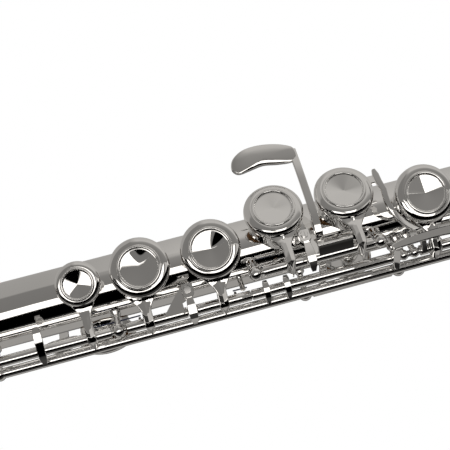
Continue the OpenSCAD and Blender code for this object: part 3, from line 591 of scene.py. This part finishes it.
arm.loft([[(-256 + dx * 1.25, y, z) for dx, y, z in
           ((-1, -8.6, 10.4), (1, -8.6, 10.4), (1, -8.6 - t, 10.4 - 0.6 * t), (-1, -8.6 - t, 10.4 - 0.6 * t))]
          for t in (0.2, 1.0)], unturned)
piece("g_sharp_key_arm", arm, "g_sharp_key", ["g_sharp_key"])
touch = smooth_curve([(-255.2, 22.4), (-256.2, 24.3), (-260.5, 26.2), (-266, 27.2), (-271, 26.8),
                      (-274.6, 24.6), (-275.6, 21.6), (-274, 19.7), (-270.5, 20.0), (-266, 20.6),
                      (-261.5, 19.8), (-257.4, 19.4), (-255.6, 20.4)], 6, True)[::-1]
piece("g_sharp_touch", leaf(Shape(), touch, 14.9, 16.5, 0.5, unturned, 0.5), "g_sharp_key", ["g_sharp_key"])

# split-E crescent round the F sharp cup
place = placed("split_e_hinge", 0, False)
lever = Shape().rod(*ROD, 224.2, 226.6, HINGE_R, place, HINGE_BORE)
rim = [(-225.4, -16.2, 9.0), (-225.5, -14.9, 10.6), (-225.7, -13.4, 12.2)]
for d in (202, 210, 219, 228, 237, 246, 255, 264, 273, 281):
    a = math.radians(d)
    y = 12.15 * math.cos(a)
    z = between(-y, [(12.4, 13.0), (11.4, 14.3), (9.9, 15.9), (6, 17.9), (2, 18.7), (-2, 19.05), (-12, 19.0)])
    rim.append((-(222 - 12.15 * math.sin(a)), y, z))
rim += [(-234.6, 5.2, 19.0), (-234.8, 7.6, 18.8), (-234.9, 9.4, 18.7)]
wide = [1.8, 1.7, 1.6] + [1.65] * 10 + [1.9, 2.0, 1.0]


def outward(_, along):
    """Level direction square to the blade."""
    return along.cross(Vector((0, 0, 1)))


lever.strap(rim, wide, 1.2, outward, place, 0.25)
piece("split_e_blade", lever, "split_e_lever", ["split_e_lever"])

# side B flat lever
place = placed("side_b_flat_hinge", 0, False)
lever = Shape().rod(*ROD, 233.8, 279.5, HINGE_R, place, HINGE_BORE)
lever.strap([(-234.8, y, z) for y, z in ((-19.4, 7.2), (-18.2, 8.2), (-17.0, 9.9), (-15.9, 12.2),
                                         (-15.2, 14.2), (-15.0, 16.0))],
            [1.2, 1.9, 2.2, 2.2, 2.2, 2.2], [0.9, 1.2, 1.4, 1.3, 1.2, 1.1], (1, 0, 0), place, 0.2, 0.15)
bar = smooth_curve([(-236.2, -14.8, 16.3, 1.6), (-233, -14.3, 16.4, 2.2), (-228, -14.0, 16.45, 2.4),
                    (-222, -13.9, 16.4, 2.5), (-214, -14.2, 16.3, 2.7), (-206, -14.7, 16.2, 3.2),
                    (-199, -14.9, 16.1, 3.6), (-196.3, -14.9, 16.05, 2.4), (-195.7, -14.9, 16.0, 1.0)], 4)
lever.strap([p[:3] for p in bar], [p[3] for p in bar], 1.3, (0, 1, 0), place, 0.4, 0.35)
for x in (275.0, 268.6):
    lever.strap([(-x, y, z) for y, z in ((-12.9, 9.95), (-13.8, 9.9), (-15.0, 9.75), (-16.4, 9.5),
                                         (-17.4, 8.9), (-18.4, 8.0), (-19.4, 7.0))],
                [1.2, 1.7, 1.9, 1.9, 1.9, 1.6, 0.8], [0.9, 1.2, 1.3, 1.3, 1.3, 1.1, 0.8],
                (1, 0, 0), place, 0.2, 0.15)
piece("side_b_flat_bar", lever, "side_b_flat_lever", ["side_b_flat_lever"])

# thumb keys
place = placed("thumb_b_key_hinge", THUMB_TURN, True)
x = pad_x("thumb_b_pad")
cup("thumb_b_key_cup", place, x, CUP_R, "thumb_b_key", "thumb_b_key", 6.5)
arm = Shape().rod(*THUMB_ROD, 309.5, 335.6, HINGE_R, place, HINGE_BORE)
arm.strap([(-x, y, z) for y, z in ((-12.9, 12.6), (-10.8, 13.1), (-8.8, 14.3), (-7, 15.3), (-5.5, 15.4))],
          4.0, 1.3, (1, 0, 0), place, 0.25)
piece("thumb_b_key_arm", arm, "thumb_b_key", ["thumb_b_key"])
place = placed("thumb_b_flat_hinge", THUMB_TURN, False)
lever = Shape().rod(*THUMB_ROD, 335.9, 341.9, HINGE_R, place, HINGE_BORE)
lever.strap([(-339, y, z) for y, z in ((-12.9, 12.7), (-11, 13.0), (-8.8, 14.1), (-6, 14.8), (-3, 14.9),
                                       (2, 14.8))],
            3.0, 1.1, (1, 0, 0), place, 0.25)
tip = smooth_curve([(-344, -4.8), (-344, 0.6), (-341.4, 3.4), (-337.2, 3.4), (-334.8, 0.6),
                    (-334.8, -4.8)], 6, True)
leaf(lever, tip[::-1], 14.25, 15.4, 0.3, place, 0.35)
piece("thumb_b_flat_touch", lever, "thumb_b_flat_lever", ["thumb_b_flat_lever"])

# trill keys
for node, joint, pad, spans, touch_x in (
        ("d_trill_key", "d_trill_hinge", "d_trill_pad", [(178, 376.6)], 180.4),
        ("d_sharp_trill_key", "d_sharp_trill_hinge", "d_sharp_trill_pad",
         [(376.9, 392.6), (155.4, 168)], 161)):
    place = placed(joint, 0, False)
    x = pad_x(pad)
    cup(node + "_cup", place, x, SMALL_R, node, node, 6.5)
    arm = Shape()
    for a, b in spans:
        arm.rod(*TRILL, a, b, HINGE_R, place, HINGE_BORE if node == "d_trill_key" else STEEL_BORE)
    if node == "d_sharp_trill_key":
        arm.rod(*TRILL, 151, 397, 1.0, place)
    arm.strap([(-x, y, z) for y, z in ((-18.2, 4.6), (-17.9, 7.6), (-15.6, 11.6), (-11.6, 14.4), (-7.2, 15.6),
                                       (-5.0, 15.8), (-2.6, 15.8))], 2.4, 1.0, (1, 0, 0), place, 0.2)
    arm.strap([(-touch_x, y, z) for y, z in ((-17.9, 4.2), (-20.0, 5.9), (-23.2, 7.8))],
              2.4, 1.1, (1, 0, 0), place)
    oval = [(-touch_x + 5.2 * math.cos(math.radians(d)), -24.6 + 2.9 * math.sin(math.radians(d)))
            for d in range(0, 360, 10)]
    leaf(arm, oval, 7.45, 8.5, 0.25, place, 0.35)
    piece(node + "_arm", arm, node, [node])

# ---- foot keys ----

place = placed("foot_d_sharp_hinge", 0, False)
x = pad_x("foot_d_sharp_pad")
cup("foot_d_sharp_cup", place, x, CUP_R, "foot_d_sharp_key", "foot_d_sharp_key", 7.0)
arm = Shape().rod(*ROD, 99.1, 113.3, HINGE_R, place, HINGE_BORE)
main_arm(arm, place, x, ridge=0.42, line=LOW_LINE)
arm.strap([(-110.6, y, z) for y, z in ((-15.8, 8.8), (-17.6, 9.4), (-19.4, 10.6), (-21.4, 11.6),
                                       (-23, 11.9))],
          3.0, 1.1, (1, 0, 0), place, 0.25)
drop = smooth_curve([(-105, -21.6), (-106, -18.9), (-110, -18.2), (-114.5, -18.6), (-118.4, -20.8),
                     (-120.5, -24.4), (-120.2, -27.4), (-117.4, -29), (-113, -28), (-109, -25.6),
                     (-106, -24.2)], 6, True)
leaf(arm, drop, 11.35, 12.7, 0.4, place, 0.45)
piece("foot_d_sharp_arm", arm, "foot_d_sharp_key", ["foot_d_sharp_key"])


def crossing(shape, place, x, reach):
    """Arm from the far rod over the tube to the player's side."""
    end = 13.2 - (reach - 17) * 0.53 - 0.6
    path = smooth_curve([(16.6, 7.6), (15.9, 9.6), (13.5, 12.2), (9.7, 14.4), (0, 15.2), (-12, 14.0),
                         (-17, 12.6), (-reach, end)], 4)
    shape.strap([(-x, y, z) for y, z in path], 2.2, 1.15, (1, 0, 0), place, 0.3, 0.12)


for node, joint, pad, ends, arm_x, reach in (
        ("foot_c_sharp_key", "foot_c_sharp_hinge", "foot_c_sharp_pad", [(64, 90.9)], 89.4, 20),
        ("foot_c_key", "foot_c_hinge", "foot_c_pad", [(29.9, 63.7), (91.2, 94.4)], 92.8, 17.5)):
    place = placed(joint, 0, True)
    x = pad_x(pad)
    cup(node + "_cup", place, x, CUP_R, node, node, 7.0)
    arm = Shape()
    for a, b in ends:
        arm.rod(*FAR, a, b, HINGE_R, place, HINGE_BORE if node == "foot_c_sharp_key" else STEEL_BORE)
    main_arm(arm, place, x, far=True)
    crossing(arm, place, arm_x, reach)
    if node == "foot_c_sharp_key":
        arm.strap([(-100.4, -20.3, 11), (-88.4, -20.3, 11)], 3.3, 1.1, (0, 1, 0), place, 0.3)
        for f in (100, 89.4):
            arm.strap([(-f, -21.2, 11), (-f, -24.3, 11), (-f, -25.5, 11)], [1.6, 1.7, 1.0],
                      1.2, (0, 0, 1), place, 0.3)
        arm.rod(-24.3, 11, 88.6, 100.8, 0.7, place)
    else:
        arm.rod(*FAR, 25.6, 98.8, 1.0, place)
        arm.strap([(-102.3, y, z) for y, z in ((-17, 12.6), (-24, 11.7), (-29, 11), (-32.2, 10.5))],
                  [1.1, 1.6, 1.9, 1.0], 1.5, (0, 0.1, 1), place, 0.3)
        arm.strap([(-87, y, z) for y, z in ((-27.7, 11), (-29, 11), (-32.2, 10.5))], [1.0, 1.9, 1.0], 1.5,
                  (0, 0.1, 1), place, 0.3)
        arm.strap([(-103, -16.6, 12.7), (-91.8, -16.6, 12.7)], 1.9, 0.95, (0, 1, 0), place, 0.3)
        arm.strap([(-103, -31.9, 10.5), (-86.3, -31.9, 10.5)], 1.0, 0.95, (0, 1, 0), place, 0.3)
        arm.rod(-29, 11, 86.5, 102.9, 0.7, place)
    piece(node + "_arm", arm, node, [node])

# ---- studio ----

camera = bpy.data.objects.new("camera", bpy.data.cameras.new("camera"))
scene.collection.objects.link(camera)
camera.data.lens = 72
camera.data.sensor_width = 36
camera.data.shift_x = 0.0022
camera.data.shift_y = -0.0049
camera.data.clip_start = 0.01
camera.data.clip_end = 5
right = Vector((0.96487, -0.26272, -0.00070))
back = Vector((-0.08316, -0.30795, 0.94777))
up = back.cross(right).normalized()
right = up.cross(back).normalized()
camera.matrix_world = Matrix.Translation(EYE) @ Matrix((right, up, back)).transposed().to_4x4()
scene.camera = camera

world = bpy.data.worlds.new("studio")
scene.world = world
world.use_nodes = True
t = Nodes(world.node_tree)
direction = t.add("TexCoord").outputs["Generated"]
rise_deg, side_deg = angles(t, direction)
past_left = t.math("MINIMUM", 1.0,
                   t.math("MAXIMUM", 0.0, t.math("DIVIDE", t.math("SUBTRACT", -8.0, side_deg), 5)))
rise_deg = t.math("ADD", rise_deg, t.math("MULTIPLY", past_left, 5.0))
fac = t.math("DIVIDE", t.math("ADD", rise_deg, 180), 360)


def bands(rows):
    """Ramp stops from (angle, display value) rows."""
    return [((a + 180) / 360, warm(v)) for a, v in rows]


WHITE = 330
# bands of the room by degrees of rise, as the metal mirrors them
BELOW = [(-180, 112), (-126, 112), (-122, 155), (-88, 155), (-84, 40), (-70, 30), (-66, 62), (-53, 48),
         (-50, 0), (-11, 0), (-9, WHITE), (11.5, WHITE)]
left = t.ramp(fac, bands(BELOW + [(12.5, 118), (63, 122), (68, 156), (152, 160), (180, 176)]))
right_side = t.ramp(fac, bands(BELOW + [(12.5, 118), (28, 128), (40, 135), (47, 142), (57, 178), (66, 186),
                                        (90, 182), (152, 172), (180, 178)]))
across = t.math("SMOOTH_MIN", 1.0,
                t.math("MAXIMUM", 0.0, t.math("DIVIDE", t.math("ADD", side_deg, 7), 10)), 0.05)
sky = t.mix(across, left, right_side)
inside = t.math("MULTIPLY", t.math("LESS_THAN", rise_deg, 12.0), t.math("GREATER_THAN", rise_deg, -9.0))
past = t.math("MULTIPLY", inside, t.math("GREATER_THAN", side_deg, 21.0))
flank = t.ramp(t.math("DIVIDE", side_deg, 90), [(0.0, warm(128)), (0.36, warm(128)), (0.5, warm(186))])
sky = t.mix(past, sky, flank)
shade_side = t.math("MULTIPLY", inside, t.math("LESS_THAN", side_deg, -38.0))
sky = t.mix(shade_side, sky, warm(52))
glow = t.add("Background", Color=sky, Strength=1.0)
blank = t.add("Background", Color=(1, 1, 1, 1), Strength=1.0)
pick = t.add("MixShader")
t.link(t.add("LightPath").outputs["Is Camera Ray"], pick.inputs[0])
t.link(glow.outputs[0], pick.inputs[1])
t.link(blank.outputs[0], pick.inputs[2])
t.link(pick.outputs[0], t.add("OutputWorld").inputs[0])

mesh = bpy.data.meshes.new("floor")
corners = [(-1, -1), (1, -1), (1, 1), (-1, 1)]
mesh.from_pydata([(FLOOR_HALF * x, FLOOR_HALF * y, FLOOR_Z) for x, y in corners], [], [(0, 1, 2, 3)])
floor = bpy.data.objects.new("floor", mesh)
scene.collection.objects.link(floor)
pale = bpy.data.materials.new("floor")
pale.use_nodes = True
t = Nodes(pale.node_tree)
t.link(t.add("Emission", Color=(1, 1, 1, 1), Strength=1.0).outputs[0], t.add("OutputMaterial").inputs[0])
mesh.materials.append(pale)
floor.visible_glossy = False
floor.visible_diffuse = False
floor.visible_shadow = False
